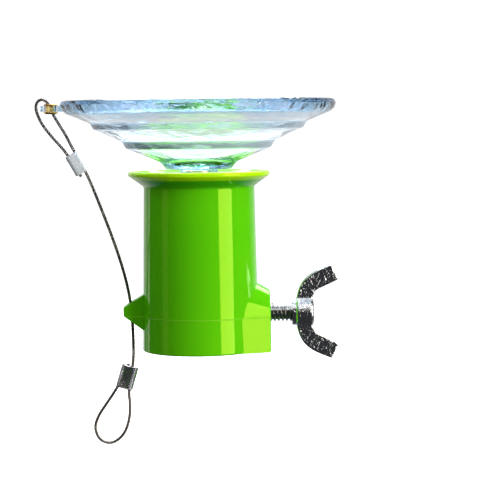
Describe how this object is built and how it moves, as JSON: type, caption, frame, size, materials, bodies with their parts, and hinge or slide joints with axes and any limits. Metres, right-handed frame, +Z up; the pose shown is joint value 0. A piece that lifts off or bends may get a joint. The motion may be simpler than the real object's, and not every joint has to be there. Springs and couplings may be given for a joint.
{
  "type": "suction cup head for a light-bulb changer pole",
  "caption": "Pole head with a clear stepped suction cup on a lime-green socket, a wing clamp screw at the side and a steel pull cable from the cup's rim to a thumb loop.",
  "frame": {"origin": "centre of the pole bore's mouth, in the socket's bottom face", "axes": "+Z up along the bore to the cup, +X towards the wing screw, -X towards the guide lug and the cable"},
  "size_m": [0.0952, 0.087, 0.1103],
  "materials": {
    "lime_plastic": "glossy moulded lime green",
    "brass_insert": "turned brass, knurled",
    "clear_vinyl": "clear flexible vinyl, glossy",
    "zinc_steel": "bright zinc plate",
    "pad_plastic": "natural white plastic",
    "screw_steel": "bright nickel plate",
    "wing_metal": "plated zinc casting, fine hammered texture",
    "wire_rope": "twisted steel strands, brownish in the lay",
    "bright_ferrule": "bright smooth crimp",
    "dark_ferrule": "grey, diamond crimp pattern",
    "eyelet_brass": "polished brass"
  },
  "bodies": {
    "socket": {"socket_body": "lime_plastic", "clamp_insert": "brass_insert", "suction_cup": "clear_vinyl", "stem_insert": "brass_insert", "retaining_washer": "zinc_steel", "lock_washer": "zinc_steel", "cup_screw": "zinc_steel"},
    "screw_tip": {"screw_tip": "pad_plastic"},
    "wing_screw": {"screw_stud": "screw_steel", "wing_head": "wing_metal"},
    "pull_cable": {"cable": "wire_rope", "upper_ferrule": "bright_ferrule", "lower_ferrule": "dark_ferrule", "eyelet": "eyelet_brass", "eyelet_washer": "eyelet_brass"}
  },
  "joints": [
    {"name": "clamp_travel", "type": "slide", "parent": "socket", "child": "screw_tip", "axis": [-1, 0, 0], "range_m": [-0.00381, 0.00635]},
    {"name": "wing_turn", "type": "hinge", "parent": "screw_tip", "child": "wing_screw", "pos_m": [0.03, 0, 0.0118], "axis": [-1, 0, 0], "range_deg": [-1083, 1803]},
    {"name": "cable_pull", "type": "slide", "parent": "socket", "child": "pull_cable", "axis": [0, 0, -1], "range_m": [0, 0.004], "stiffness_N_per_m": 800, "deforming": ["suction_cup"]}
  ],
  "couplings": [
    {"joint": "wing_turn", "follows": "clamp_travel", "rad_per_m": 4947.4}
  ]
}
